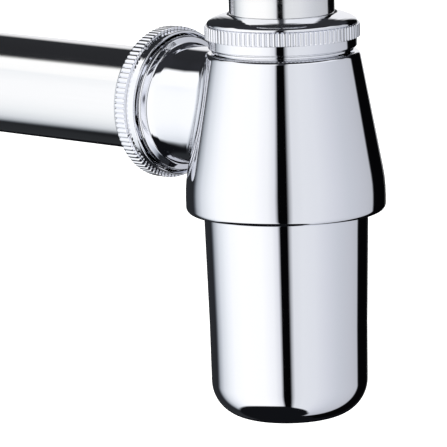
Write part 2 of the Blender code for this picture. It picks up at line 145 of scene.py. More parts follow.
class CupSizes(bpy.types.PropertyGroup):
    """The screw-off cup"""

    top_radius: length("Top radius", "Radius where the cup leaves the bell", high("cup_shell").x)
    taper: length("Taper", "Top radius less foot radius", 1.2 * MM)
    corner: length("Corner radius", "Rounding of the cup's lower edge", 11.0 * MM)
    wall: length("Wall", "Thickness of the cup", 1.2 * MM)


class FlangeSizes(bpy.types.PropertyGroup):
    """The wall flange"""

    radius: length(
        "Flange radius", "Outside radius of the wall flange", high("wall_flange").y
    )
    rise: length(
        "Flange rise",
        "How far the flange stands off the wall",
        high("wall_flange").x - low("wall_flange").x,
    )


class FinishColours(bpy.types.PropertyGroup):
    """Colours of every finish"""

    chrome: colour("Bright chrome", "Polished plate on the cast and turned pieces", "F4F5F9")
    tube: colour("Tube chrome", "Plate on the brushed tubes", "F6F6F6")
    brass: colour("Brass", "Unplated machined brass", "C49A55")
    rubber: colour("Rubber", "Seals and the flange's grip ring", "1E1E20")
    nylon: colour("Nylon", "Slip rings", "ECE9DF")
    sleeve: colour("Polypropylene", "Dip sleeve", "A9ABAD")
    floor: colour("Floor", "Studio floor and sweep", "F2F2F0")


class StudioSettings(bpy.types.PropertyGroup):
    """Floor, light and camera"""

    floor_drop: length("Floor drop", "Cup's underside down to the studio floor", 0.42)
    camera_distance: length("Camera distance", "Aim point to the camera", 1.188)
    camera_lens: FloatProperty(
        name="Lens",
        description="Focal length of the camera",
        default=314.06,
        min=1.0,
        subtype="DISTANCE_CAMERA",
    )
    camera_turn: FloatProperty(
        name="Camera turn",
        description="Turn of the camera round the trap",
        default=math.radians(42.757),
        subtype="ANGLE",
    )
    camera_rise: FloatProperty(
        name="Camera rise",
        description="How far the camera looks down",
        default=math.radians(10.357),
        subtype="ANGLE",
    )
    camera_roll: FloatProperty(
        name="Camera roll",
        description="Tilt of the picture",
        default=math.radians(-1.423),
        subtype="ANGLE",
    )
    light_strength: FloatProperty(
        name="Light strength",
        description="Brightness of the softboxes round the trap",
        default=1.12,
        min=0.0,
    )


# ---- where the joints are ----------------------------------------------------------------------------
def inlet_joint():
    """Inlet spigot's shoulder, local Z up the tail."""
    return Matrix.Translation((0, 0, high("inlet_nut").z - NUT_TOP * MM))


def outlet_joint():
    """Outlet spigot's shoulder, local Z out along the outlet pipe."""
    height = (low("outlet_pipe").z + high("outlet_pipe").z) / 2
    out = low("outlet_nut").x + NUT_TOP * MM
    return Matrix.Translation((out, 0, height)) @ Matrix.Rotation(-math.pi / 2, 4, "Y")


def union_joint():
    """The union nut works upside down: its lip is below, its thread opens to the basin waste."""
    height = low("union_nut").z + NUT_TOP * MM
    return Matrix.Translation((0, 0, height)) @ Matrix.Rotation(math.pi, 4, "X")


# ---- building tools ----------------------------------------------------------------------------------
def rounded(corners, closed):
    """The outline with an arc in every corner that has a third number, its radius."""
    count = len(corners)
    outline = []
    for i, corner in enumerate(corners):
        here = Vector(corner[:2])
        bend = corner[2] if len(corner) > 2 else 0.0
        if bend <= 0 or (not closed and i in (0, count - 1)):
            outline.append((here.x, here.y))
            continue
        back = Vector(corners[i - 1][:2]) - here
        ahead = Vector(corners[(i + 1) % count][:2]) - here
        between = back.angle(ahead)
        reach = min(bend / math.tan(between / 2), 0.499 * back.length, 0.499 * ahead.length)
        if len(corner) > 3:
            reach = bend / math.tan(between / 2)
        bend = reach * math.tan(between / 2)
        start = here + back.normalized() * reach
        middle = here + (back.normalized() + ahead.normalized()).normalized() * bend / math.sin(between / 2)
        first = start - middle
        swing = math.pi - between
        turn = 1 if first.x * (here - middle).y - first.y * (here - middle).x > 0 else -1
        steps = max(2, math.ceil(swing / math.radians(11 if bend < 5 else 4)))
        for k in range(steps + 1):
            a = turn * swing * k / steps
            x = middle.x + first.x * math.cos(a) - first.y * math.sin(a)
            y = middle.y + first.x * math.sin(a) + first.y * math.cos(a)
            outline.append((x, y))
    return outline


def smoothed(mesh, angle=28):
    """Outward faces, shaded smooth up to that angle."""
    solid = bmesh.new()
    solid.from_mesh(mesh)
    bmesh.ops.recalc_face_normals(solid, faces=solid.faces)
    solid.to_mesh(mesh)
    solid.free()
    mesh.shade_smooth()
    mesh.set_sharp_from_angle(angle=math.radians(angle))


def turned(name, corners, place, finish, around=AROUND, closed=True, cut=None):
    """A turned piece. cut(radius, height, angle) gives the radius where a thread or knurl changes it."""
    outline = rounded(corners, closed)
    points = []
    columns = []
    for i in range(around):
        a = math.tau * i / around
        column = []
        for k, (r, z) in enumerate(outline):
            if r < 1e-6 and i:
                column.append(columns[0][k])
                continue
            radius = cut(r, z, a) if cut else r
            column.append(len(points))
            points.append(place @ (Vector((radius * math.cos(a), radius * math.sin(a), z)) * MM))
        columns.append(column)
    faces = []
    last = len(outline) if closed else len(outline) - 1
    for i in range(around):
        here, ahead = columns[i - 1], columns[i]
        for k in range(last):
            after = (k + 1) % len(outline)
            face = list(dict.fromkeys((here[k], here[after], ahead[after], ahead[k])))
            if len(face) > 2:
                faces.append(face)
    mesh = bpy.data.meshes.new(name)
    mesh.from_pydata(points, [], faces)
    smoothed(mesh)
    made = bpy.data.objects.new(name, mesh)
    bpy.context.scene.collection.objects.link(made)
    mesh.materials.append(finish)
    return made


def fitted(piece, body, node):
    """The piece stands for that solid, which is hidden, and moves with its body."""
    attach(piece, body)
    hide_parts(node)
    return piece


def rows(foot, top, gap):
    """Evenly spaced heights from foot to top, for a stretch that a thread cuts."""
    count = max(1, round((top - foot) / gap))
    return [foot + (top - foot) * i / count for i in range(count + 1)]


def thread(foot, top, crest, depth, out=1):
    """A right-hand screw thread on a cylinder: out is 1 where it is cut in from outside, -1 in a bore."""

    def cut(r, z, a):
        if abs(r - crest) > 1e-4 or not foot < z < top:
            return r
        phase = (z / PITCH - a / math.tau) % 1.0
        ridge = min(1.0, max(0.0, (1.0 - abs(2.0 * phase - 1.0) - 0.1) / 0.8))
        run_out = min(1.0, (z - foot) / 0.7, (top - z) / 0.7)
        return r - out * depth * (1.0 - ridge) * run_out

    return cut


def crown(edge, foot):
    """A nut's domed top from its lip out to its edge: a parabola that stands steep at the edge."""
    steps = [1 - i / CROWN_STEPS for i in range(CROWN_STEPS)]
    rise = CROWN_HEIGHT - CROWN_FOOT
    return [(edge - CROWN_WIDTH * x * x, foot + CROWN_FOOT + rise * x, 3.0) for x in steps]


def both(first, second):
    return lambda r, z, a: first(r, z, a) if first(r, z, a) != r else second(r, z, a)


# ---- finishes ----------------------------------------------------------------------------------------
def add(tree, kind, into=(), settings=(), stops=()):
    """Adds a node. into maps a socket to a value or to the socket that feeds it."""
    made = tree.nodes.new(kind)
    for name, value in dict(settings).items():
        setattr(made, name, value)
    for i, (place, shade) in enumerate(stops):
        bands = made.color_ramp.elements
        band = bands[i] if i < 2 else bands.new(place)
        band.position = place
        band.color = shade
    for socket, value in dict(into).items():
        if isinstance(value, bpy.types.NodeSocket):
            tree.links.new(value, made.inputs[socket])
        else:
            made.inputs[socket].default_value = value
    return made


def blank(name):
    """An empty material with its output node, ready to be made up."""
    made = bpy.data.materials.get(name)
    if made:
        return made, None
    made = bpy.data.materials.new(name)
    made.use_nodes = True
    made.node_tree.nodes.clear()
    return made, made.node_tree


def shades(tint, dark, light):
    return (0.0, [v * dark for v in tint] + [1.0]), (1.0, [min(1.0, v * light) for v in tint] + [1.0])


def polished_chrome():
    """Brass, cast and turned, buffed and bright chrome plated: a clean cool mirror with sharp edges in
    its reflections, and only a faint haze and ripple left by the buffing wheel."""
    made, tree = blank("bright_chrome_polished")
    if tree is None:
        return made
    tint = bpy.context.scene.trap_colours.chrome
    where = add(tree, "ShaderNodeTexCoord").outputs["Object"]
    haze = add(
        tree,
        "ShaderNodeTexNoise",
        {"Vector": where, "Scale": 90.0, "Detail": 3.0, "Roughness": 0.6},
    ).outputs["Fac"]  # soft patches about 11 mm across
    wiped = add(tree, "ShaderNodeMapRange", {0: haze, 1: 0.3, 2: 0.75, 3: 0.018, 4: 0.045}).outputs[0]
    wheel = add(
        tree,
        "ShaderNodeTexNoise",
        {"Vector": where, "Scale": 160.0, "Detail": 1.0},
    ).outputs["Fac"]  # the ripple of buffing, about 6 mm from crest to crest
    ripple = add(tree, "ShaderNodeBump", {"Strength": 0.01, "Distance": 0.0004, "Height": wheel})
    tone = add(tree, "ShaderNodeValToRGB", {"Fac": haze}, stops=shades(tint, 0.985, 1.0))
    surface = add(
        tree,
        "ShaderNodeBsdfPrincipled",
        {
            "Base Color": tone.outputs["Color"],
            "Metallic": 1.0,
            "Roughness": wiped,
            "Normal": ripple.outputs["Normal"],
        },
    )
    add(tree, "ShaderNodeOutputMaterial", {"Surface": surface.outputs["BSDF"]})
    return made


def brushed_chrome(name, stretch):
    """Drawn brass tube, brushed and then chrome plated: a bright mirror broken by fine straight lines,
    so its dark and light bands have a slightly feathered edge. stretch is small along the lines."""
    made, tree = blank(name)
    if tree is None:
        return made
    tint = bpy.context.scene.trap_colours.tube
    where = add(tree, "ShaderNodeTexCoord").outputs["Object"]
    drawn = add(tree, "ShaderNodeVectorMath", {0: where, 1: stretch}, {"operation": "MULTIPLY"})
    # Real brush lines are near 0.1 mm apart; these are drawn 0.35 mm apart so that they show.
    lines = add(
        tree,
        "ShaderNodeTexNoise",
        {"Vector": drawn.outputs[0], "Scale": 2800.0, "Detail": 2.0, "Roughness": 0.7},
    ).outputs["Fac"]
    patches = add(tree, "ShaderNodeTexNoise", {"Vector": drawn.outputs[0], "Scale": 500.0}).outputs["Fac"]
    mixed = add(tree, "ShaderNodeMath", {0: lines, 1: patches}, {"operation": "ADD"}).outputs[0]
    gloss = add(tree, "ShaderNodeMapRange", {0: mixed, 1: 0.7, 2: 1.3, 3: 0.05, 4: 0.13}).outputs[0]
    tone = add(tree, "ShaderNodeValToRGB", {"Fac": lines}, stops=shades(tint, 0.95, 1.0))
    relief = add(tree, "ShaderNodeBump", {"Strength": 0.06, "Distance": 0.00004, "Height": lines})
    surface = add(
        tree,
        "ShaderNodeBsdfPrincipled",
        {
            "Base Color": tone.outputs["Color"],
            "Metallic": 1.0,
            "Roughness": gloss,
            "Normal": relief.outputs["Normal"],
        },
    )
    add(tree, "ShaderNodeOutputMaterial", {"Surface": surface.outputs["BSDF"]})
    return made


def machined_brass():
    """Brass bar, turned on a lathe and left bare: warm yellow metal with rings from the tool and a dull
    brown bloom in patches."""
    made, tree = blank("brass_machined")
    if tree is None:
        return made
    tint = bpy.context.scene.trap_colours.brass
    where = add(tree, "ShaderNodeTexCoord").outputs["Object"]
    ringed = add(
        tree, "ShaderNodeVectorMath", {0: where, 1: (0.03, 0.03, 1.0)}, {"operation": "MULTIPLY"}
    )
    # Tool marks are about 0.1 mm apart; these are drawn 0.4 mm apart so that they show.
    marks = add(
        tree, "ShaderNodeTexNoise", {"Vector": ringed.outputs[0], "Scale": 2500.0, "Detail": 1.0}
    ).outputs["Fac"]
    bloom = add(
        tree, "ShaderNodeTexNoise", {"Vector": where, "Scale": 220.0, "Detail": 4.0}
    ).outputs["Fac"]  # tarnish in patches of 4 to 5 mm
    tone = add(tree, "ShaderNodeValToRGB", {"Fac": bloom}, stops=shades(tint, 0.72, 1.1))
    gloss = add(tree, "ShaderNodeMapRange", {0: marks, 1: 0.3, 2: 0.7, 3: 0.2, 4: 0.4}).outputs[0]
    relief = add(tree, "ShaderNodeBump", {"Strength": 0.3, "Distance": 0.00005, "Height": marks})
    surface = add(
        tree,
        "ShaderNodeBsdfPrincipled",
        {
            "Base Color": tone.outputs["Color"],
            "Metallic": 1.0,
            "Roughness": gloss,
            "Normal": relief.outputs["Normal"],
        },
    )
    add(tree, "ShaderNodeOutputMaterial", {"Surface": surface.outputs["BSDF"]})
    return made


def moulded(name, tint, grain, roughness, specular, scatter):
    """A moulded soft material: an even colour with slight flow marks and the fine grain of its mould."""
    made, tree = blank(name)
    if tree is None:
        return made
    where = add(tree, "ShaderNodeTexCoord").outputs["Object"]
    flow = add(
        tree, "ShaderNodeTexNoise", {"Vector": where, "Scale": 140.0, "Detail": 3.0}
    ).outputs["Fac"]  # flow marks about 7 mm long
    pits = add(
        tree, "ShaderNodeTexNoise", {"Vector": where, "Scale": 1.0 / (grain * MM), "Detail": 2.0}
    ).outputs["Fac"]
    tone = add(tree, "ShaderNodeValToRGB", {"Fac": flow}, stops=shades(tint, 0.86, 1.08))
    gloss = add(
        tree,
        "ShaderNodeMapRange",
        {0: pits, 1: 0.3, 2: 0.7, 3: roughness - 0.06, 4: roughness + 0.06},
    ).outputs[0]
    relief = add(tree, "ShaderNodeBump", {"Strength": 0.2, "Distance": 0.00008, "Height": pits})
    surface = add(
        tree,
        "ShaderNodeBsdfPrincipled",
        {
            "Base Color": tone.outputs["Color"],
            "Roughness": gloss,
            "Specular IOR Level": specular,
            "Subsurface Weight": scatter,
            "Subsurface Scale": 0.001,
            "Normal": relief.outputs["Normal"],
        },
    )
    add(tree, "ShaderNodeOutputMaterial", {"Surface": surface.outputs["BSDF"]})
    return made


def moulded_rubber():
    """Black rubber, pressed in a mould: nearly black and matt, with a grey bloom in the light."""
    return moulded("rubber_moulded", bpy.context.scene.trap_colours.rubber, 0.5, 0.62, 0.3, 0.0)


def moulded_nylon():
    """Nylon, injection moulded: warm white, a little light passing through its edges, soft shine."""
    return moulded("nylon_moulded", bpy.context.scene.trap_colours.nylon, 0.7, 0.36, 0.5, 0.15)


def moulded_polypropylene():
    """Polypropylene, injection moulded: mid grey and waxy, with a soft wide highlight."""
    return moulded("polypropylene_moulded", bpy.context.scene.trap_colours.sleeve, 0.8, 0.42, 0.45, 0.05)


def painted_sweep():
    """Studio sweep, painted matt white with a roller: no shine, only the faintest mottle."""
    made, tree = blank("studio_sweep_painted")
    if tree is None:
        return made
    tint = bpy.context.scene.trap_colours.floor
    where = add(tree, "ShaderNodeTexCoord").outputs["Object"]
    mottle = add(tree, "ShaderNodeTexNoise", {"Vector": where, "Scale": 9.0, "Detail": 4.0}).outputs["Fac"]
    tone = add(tree, "ShaderNodeValToRGB", {"Fac": mottle}, stops=shades(tint, 0.985, 1.0))
    surface = add(
        tree,
        "ShaderNodeBsdfPrincipled",
        {
            "Base Color": tone.outputs["Color"],
            "Roughness": 0.9,
            "Specular IOR Level": 0.1,
            "Emission Color": (1.0, 1.0, 1.0, 1.0),
            "Emission Strength": 0.45,
        },
    )
    add(tree, "ShaderNodeOutputMaterial", {"Surface": surface.outputs["BSDF"]})
    return made


# ---- the pieces --------------------------------------------------------------------------------------
class TRAP_OT_tail(bpy.types.Operator):
    """Builds the inlet tail with its collar and the washer on top"""

    bl_idname = "bottle_trap.tail"
    bl_label = "Inlet Tail"

    def execute(self, context):
        tube = context.scene.trap_tubes
        outer, wall = tube.radius / MM, tube.wall / MM
        seat = Matrix.Identity(4)
        top, foot = high("tail_pipe").z / MM, low("tail_pipe").z / MM
        pipe = [
            (outer, top, 0.15),
            *[(outer, z) for z in (top - 12.0, top - 60.0, foot + 12.0)],
            (outer, foot, 0.3),
            (outer - wall, foot, 0.3),
            (outer - wall, top, 0.15),
        ]
        # Brushed on a lathe, so its lines run round the tube.
        finish = brushed_chrome("chrome_tube_brushed_round", (0.02, 0.02, 1.0))
        piece = turned("fine_tail_pipe", pipe, seat, finish)
        fitted(piece, "tail", "tail_pipe")
        inner, rim = outer + 0.3, outer + tube.collar_step / MM
        collar_top, collar_foot = high("tail_collar").z / MM, low("tail_collar").z / MM
        collar = [
            (rim, collar_top, 0.3),
            (rim, collar_foot, 0.4),
            (inner, collar_foot, 0.3),
            (inner, collar_top, 0.2),
        ]
        piece = turned("fine_tail_collar", collar, seat, machined_brass())
        fitted(piece, "tail", "tail_collar")
        face, under = high("basin_washer").z / MM, low("basin_washer").z / MM
        edge = high("basin_washer").x / MM
        bore = outer - wall - 0.4
        washer = [
            (edge, face, 0.35),
            (edge, (face + under) / 2 + 0.08, 0.05),
            (edge - 0.12, (face + under) / 2, 0.05),
            (edge, (face + under) / 2 - 0.08, 0.05),
            (edge, under, 0.35),
            (bore, under, 0.3),
            (bore, face, 0.3),
        ]
        piece = turned("fine_basin_washer", washer, seat, moulded_rubber())
        fitted(piece, "tail", "basin_washer")
        return {"FINISHED"}


class TRAP_OT_nuts(bpy.types.Operator):
    """Builds the three knurled nuts with their threads"""

    bl_idname = "bottle_trap.nuts"
    bl_label = "Knurled Nuts"

    def execute(self, context):
        sizes = context.scene.trap_nuts
        tip = sizes.tip_radius / MM
        floor = tip - sizes.knurl_depth / MM
        teeth = sizes.teeth
        lip = context.scene.trap_tubes.radius / MM + 0.6
        cavity = context.scene.trap_tubes.radius / MM + 3.8
        bore = sizes.thread_radius / MM + 0.35
        skirt = bore + 1.2
        dome = tip - 0.65
        jobs = (
            ("inlet_nut", inlet_joint(), 1.4, 4.35, 8.5),
            ("outlet_nut", outlet_joint(), 1.4, 4.35, 8.5),
            ("union_nut", union_joint(), -5.2, 0.8, 6.0),
        )
        for node, place, mouth, foot, top in jobs:
            band = [foot + (top - foot) * s for s in (0.03, 0.07, 0.13, 0.22, 0.5, 0.78, 0.87, 0.93, 0.97)]

            def knurl(r, z, a, foot=foot, top=top):
                if r < tip - 1e-4 or not foot < z < top:
                    return r
                phase = (a * teeth / math.tau) % 1.0 - 0.5
                ridge = 1.0 - abs(2.0 * phase) ** 4
                end = min(z - foot, top - z, 0.7) / 0.7
                rise = math.sqrt(1.0 - (1.0 - end) ** 2)
                gap = floor - 0.35 * (1.0 - rise)
                return gap + (tip - 0.12 * (1.0 - rise) - gap) * ridge

            female = thread(mouth, 9.0, bore, sizes.thread_depth / MM, -1)
            corners = [
                (lip, top + 3.3, 0.3),
                *crown(dome, top),
                (dome, top + 0.12, 0.2),
                (floor - 0.35, top + 0.02),
                *[(tip, z) for z in reversed(band)],
                (floor - 0.35, foot - 0.02),
                (skirt, foot - 0.12, 0.15),
                (skirt, mouth + 0.9),
                (skirt, mouth, 0.4),
                (bore + 0.5, mouth, 0.1),
                *[(bore, z) for z in rows(mouth + 0.6, 9.05, PITCH / 9)],
                (cavity, 9.35, 0.2),
                (cavity, 10.5, 0.3),
                (lip, 10.5, 0.25),
            ]
            piece = turned(
                "fine_" + node, corners, place, polished_chrome(), around=teeth * 8, cut=both(knurl, female)
            )
            fitted(piece, node, node)
        return {"FINISHED"}


class TRAP_OT_seals(bpy.types.Operator):
    """Builds the cone seals and slip rings of the pipe joints and the cup's gasket and slip ring"""

    bl_idname = "bottle_trap.seals"
    bl_label = "Seals and Slip Rings"

    def execute(self, context):
        bore = context.scene.trap_tubes.radius / MM + 0.3
        rim = bore + 2.9
        for side, place in (("inlet", inlet_joint()), ("outlet", outlet_joint())):
            cone = [
                (19.2, 9.1, 0.25),
                (19.2, 8.85, 0.1),
                (18.2, 7.85, 0.1),
                (17.9, 7.6, 0.3),
                (17.9, 5.2, 0.2),
                (17.4, 4.6, 0.2),
                (bore + 0.3, 4.6, 0.2),
                (bore, 5.2, 0.2),
                (bore, 8.2, 0.2),
                (bore + 0.4, 9.1, 0.3),
            ]
            piece = turned("fine_" + side + "_cone_seal", cone, place, moulded_rubber())
            fitted(piece, side + "_seal", side + "_cone_seal")
        for side, place in (("inlet", inlet_joint()), ("outlet", outlet_joint()), ("union", union_joint())):
            washer = [(rim, 10.2, 0.2), (rim, 9.4, 0.2), (bore, 9.4, 0.2), (bore, 10.2, 0.2)]
            piece = turned("fine_" + side + "_slip_ring", washer, place, moulded_nylon())
            fitted(piece, side + "_ring", side + "_slip_ring")
        edge = high("cup_gasket").x / MM
        inner = edge - 2.5
        for node, body, finish, slot in (
            ("cup_gasket", "cup_gasket", moulded_rubber(), "black_rubber"),
            ("cup_slip_ring", "cup_ring", moulded_nylon(), "white_nylon"),
        ):
            face, under = high(node).z / MM, low(node).z / MM
            flat = [
                (edge, face, 0.3),
                (edge, under, 0.3),
                (inner, under, 0.25),
                (inner, face, 0.25),
            ]
            piece = turned("fine_" + node, flat, Matrix.Identity(4), finish)
            fitted(piece, body, node)
        return {"FINISHED"}


class TRAP_OT_bell(bpy.types.Operator):
    """Builds the bell and the brass seat ring that the cup screws into"""

    bl_idname = "bottle_trap.bell"
    bl_label = "Bell"

    def execute(self, context):
        sizes = context.scene.trap_bell
        top, widest, wall = sizes.top_radius / MM, sizes.widest_radius / MM, sizes.wall / MM
        place = inlet_joint()
        foot = (low("bell_shell").z - place.translation.z) / MM
        turn = foot + BELL_TURN
        slope = (widest - top) / -turn
        mouth = context.scene.trap_cup.top_radius / MM + 0.45
        corners = [
            (19.6, 0.0, 0.1),
            (top, 0.0, 1.5),
            *[(top - slope * z, z) for z in (-6.0, -14.0, -24.0, -33.0)],
            (widest, turn, 48.0, 1),
            (widest - 0.1, foot, 1.9, 1),
            (mouth, foot, 0.25),
            (mouth, foot + 1.3, 0.2),
            (widest - wall - 1.0, foot + 1.9, 0.8),
            (widest - wall - 0.1, turn - 4.0, 1.0),
            (top - slope * (turn + 4.0) - wall, turn + 4.0),
            (top - wall, -wall - 0.8, 0.6),
            (19.6, -wall, 0.2),
        ]
        shell = turned("fine_bell_shell", corners, place, polished_chrome(), around=288)
        port = turned(
            "port_cutter",
            [(0.0, 2.0), (15.4, 2.0), (15.4, -30.0), (0.0, -30.0)],
            outlet_joint(),
            polished_chrome(),
            around=96,
            closed=False,
        )
        bore = shell.modifiers.new("outlet port", "BOOLEAN")
        bore.operation = "DIFFERENCE"
        bore.solver = "EXACT"
        bore.object = port
        context.view_layer.update()
        seen = shell.evaluated_get(context.evaluated_depsgraph_get())
        bored = bpy.data.meshes.new_from_object(seen)
        shell.modifiers.clear()
        shell.data = bored
        bpy.data.objects.remove(port)
        smoothed(bored)
        fitted(shell, "housing", "bell_shell")
        crest = context.scene.trap_cup.top_radius / MM + 0.35
        ledge = (high("cup_seat_ring").z - place.translation.z) / MM
        under = (low("cup_seat_ring").z - place.translation.z) / MM
        inner = crest - 2.95
        ring = [
            (top - slope * ledge - wall - 0.9, ledge, 0.3),
            (top - slope * ledge - wall - 0.3, under + 3.0, 0.5),
            (crest + 1.6, under, 0.3),
            *[(crest, z) for z in rows(under + 0.05, ledge - 1.45, PITCH / 9)],
            (inner, ledge - 1.4, 0.2),
            (inner, ledge, 0.3),
        ]
        female = thread(under, ledge - 1.9, crest, 0.75, -1)
        piece = turned("fine_cup_seat_ring", ring, place, machined_brass(), cut=female)
        fitted(piece, "housing", "cup_seat_ring")
        return {"FINISHED"}


class TRAP_OT_spigots(bpy.types.Operator):
    """Builds the threaded inlet and outlet spigots"""

    bl_idname = "bottle_trap.spigots"
    bl_label = "Spigots"

    def execute(self, context):
        crest = context.scene.trap_nuts.thread_radius / MM
        depth = context.scene.trap_nuts.thread_depth / MM
        cut = thread(1.0, 8.3, crest, depth)
        threaded = [(crest - 0.8, 8.6, 0.15), *[(crest, z) for z in rows(7.9, 1.02, PITCH / 9)]]
        inlet = [
            *threaded,
            (crest + 0.595, 1.0, 0.15),
            (crest + 0.595, 0.3, 0.15),
            (19.3, 0.3),
            (19.3, -3.0, 0.3),
            (17.45, -3.0, 0.3),
            (17.45, 2.8, 0.2),
            (18.2, 2.8, 0.1),
            (18.2, 7.7),
            (19.1, 8.6, 0.15),
        ]
        piece = turned("fine_inlet_spigot", inlet, inlet_joint(), polished_chrome(), cut=cut)
        fitted(piece, "housing", "inlet_spigot")
        tube = context.scene.trap_bell.spigot_radius / MM
        place = outlet_joint()
        inner_end = -place.translation.x / MM - 17.0
        outlet = [
            *threaded,
            (crest - 0.1, 1.0, 0.2),
            (crest - 0.1, 0.1, 0.9),
            (tube + 0.35, -0.5, 1.0, 1),
            (tube + 0.1, -3.0, 6.0),
            (tube, -6.0),
            (tube, -12.0),
            (tube, -inner_end, 0.2),
            (14.8, -inner_end, 0.2),
            (14.8, -10.0, 0.2),
            (16.4, -10.0, 0.2),
            (16.4, 4.3, 0.2),
            (18.2, 4.3, 0.2),
            (18.2, 7.7),
            (19.1, 8.6, 0.15),
        ]
        piece = turned("fine_outlet_spigot", outlet, place, polished_chrome(), cut=cut)
        fitted(piece, "housing", "outlet_spigot")
        weld = self.fillet(context, tube, inlet_joint().translation.z, place)
        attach(weld, "housing")
        return {"FINISHED"}

    def fillet(self, context, tube, shoulder, place):
        """The rounded corner between the spigot's tube and the bell, as a rolling ball leaves it."""
        bell = context.scene.trap_bell
        ball, top = bell.fillet / MM, bell.top_radius / MM
        slope = (bell.widest_radius / MM - top) / ((shoulder - low("bell_shell").z) / MM - BELL_TURN)
        steep = math.hypot(1.0, slope)
        drop = (shoulder - place.translation.z) / MM
        around, along = 240, 18
        points, faces = [], []
        for i in range(around):
            a = math.tau * i / around
            side, down = math.cos(a), math.sin(a)
            reach = tube + ball
            y, depth = reach * side, drop + reach * down
            radius = top + slope * depth + ball * steep
            x = math.sqrt(radius**2 - y**2)
            to_tube = Vector((0, -side, -down))
            to_bell = Vector((-x / radius, -y / radius, slope)) / steep
            centre = Vector((x, y, depth))
            bent = [centre + to_tube.slerp(to_bell, k / along) * ball for k in range(along + 1)]
            bent += [bent[-1] + to_bell * 0.8, bent[0] + (to_tube - Vector((1, 0, 0))) * 1.2]
            for p in bent:
                points.append((-p.x * MM, p.y * MM, shoulder - max(p.z, 0.12) * MM))
        count = along + 3
        for i in range(around):
            here, ahead = i * count, ((i + 1) % around) * count
            for k in range(count):
                after = (k + 1) % count
                faces.append((here + k, here + after, ahead + after, ahead + k))
        mesh = bpy.data.meshes.new("fine_spigot_fillet")
        mesh.from_pydata(points, [], faces)
        mesh.materials.append(polished_chrome())
        smoothed(mesh)
        made = bpy.data.objects.new("fine_spigot_fillet", mesh)
        context.scene.collection.objects.link(made)
        return made


class TRAP_OT_sleeve(bpy.types.Operator):
    """Builds the dip sleeve inside the bell"""

    bl_idname = "bottle_trap.sleeve"
    bl_label = "Dip Sleeve"

    def execute(self, context):
        bore = context.scene.trap_tubes.radius / MM + 0.3
        outer = bore + 0.85
        place = inlet_joint()
        foot = (low("dip_sleeve").z - place.translation.z) / MM
        corners = [
            (17.9, 4.3, 0.2),
            (17.9, 3.1, 0.2),
            (outer, 3.1, 0.3),
            (outer, -30.0),
            (outer, foot + 2.2),
            (outer - 0.35, foot, 0.2),
            (bore, foot, 0.2),
            (bore, -30.0),
            (bore, 4.3, 0.25),
        ]
        piece = turned("fine_dip_sleeve", corners, place, moulded_polypropylene())
        fitted(piece, "housing", "dip_sleeve")
        return {"FINISHED"}


class TRAP_OT_cup(bpy.types.Operator):
    """Builds the screw-off cup and its threaded rim"""

    bl_idname = "bottle_trap.cup"
    bl_label = "Cup"

    def execute(self, context):
        sizes = context.scene.trap_cup
        top, wall, bend = sizes.top_radius / MM, sizes.wall / MM, sizes.corner / MM
        foot_radius = top - sizes.taper / MM
        place = inlet_joint()
        rim = (high("cup_shell").z - place.translation.z) / MM
        foot = (low("cup_shell").z - place.translation.z) / MM
        neck = top - 1.4
        leaves = foot + bend
        sill = (low("cup_thread_ring").z - place.translation.z) / MM - 1.7
        shell = [
            (0.0, foot + 0.0),
            (foot_radius * 0.4, foot),
            (foot_radius, foot, bend, 1),
            (foot_radius + 0.35, leaves + 18.0),
            (top - 0.06, leaves + 49.0),
            (top, sill, 0.15),
            (neck, sill + 1.4, 0.2),
            (neck, rim, 0.3),
            (neck - wall, rim, 0.3),
            (neck - wall, sill + 0.7, 0.5),
            (top - wall, sill - 1.8, 0.8),
            (foot_radius + 0.35 - wall, leaves + 18.0),
            (foot_radius - wall, foot + wall, bend - wall, 1),
            (foot_radius * 0.4, foot + wall),
            (0.0, foot + wall),
        ]
        piece = turned("fine_cup_shell", shell, place, polished_chrome(), around=288, closed=False)
        fitted(piece, "cup", "cup_shell")
        ring_top = (high("cup_thread_ring").z - place.translation.z) / MM
        ring_foot = (low("cup_thread_ring").z - place.translation.z) / MM
        inner = neck + 0.3
        ring = [
            *[(top, z) for z in rows(ring_top - 0.02, ring_foot + 0.02, PITCH / 9)],
            (top - 0.3, ring_foot, 0.1),
            (inner, ring_foot, 0.2),
            (inner, ring_top, 0.2),
            (top - 0.3, ring_top, 0.1),
        ]
        male = thread(ring_foot, ring_top, top, 0.7)
        piece = turned("fine_cup_thread_ring", ring, place, machined_brass(), cut=male)
        fitted(piece, "cup", "cup_thread_ring")
        return {"FINISHED"}


class TRAP_OT_outlet_pipe(bpy.types.Operator):
    """Builds the outlet pipe that runs to the wall"""

    bl_idname = "bottle_trap.outlet_pipe"
    bl_label = "Outlet Pipe"

    def execute(self, context):
        tube = context.scene.trap_tubes
        outer, wall = tube.radius / MM, tube.wall / MM
        place = outlet_joint()
        near = (place.translation.x - high("outlet_pipe").x) / MM
        far = (place.translation.x - low("outlet_pipe").x) / MM
        pipe = [
            (outer, far, 0.3),
            *[(outer, z) for z in (far - 12.0, (near + far) / 2, near + 12.0)],
            (outer, near, 0.3),
            (outer - wall, near, 0.3),
            (outer - wall, far, 0.3),
        ]
        # Brushed as it was drawn, so its lines run along the tube.
        finish = brushed_chrome("chrome_tube_brushed_along", (0.012, 1.0, 1.0))
        piece = turned("fine_outlet_pipe", pipe, place, finish)
        fitted(piece, "outlet_pipe", "outlet_pipe")
        return {"FINISHED"}


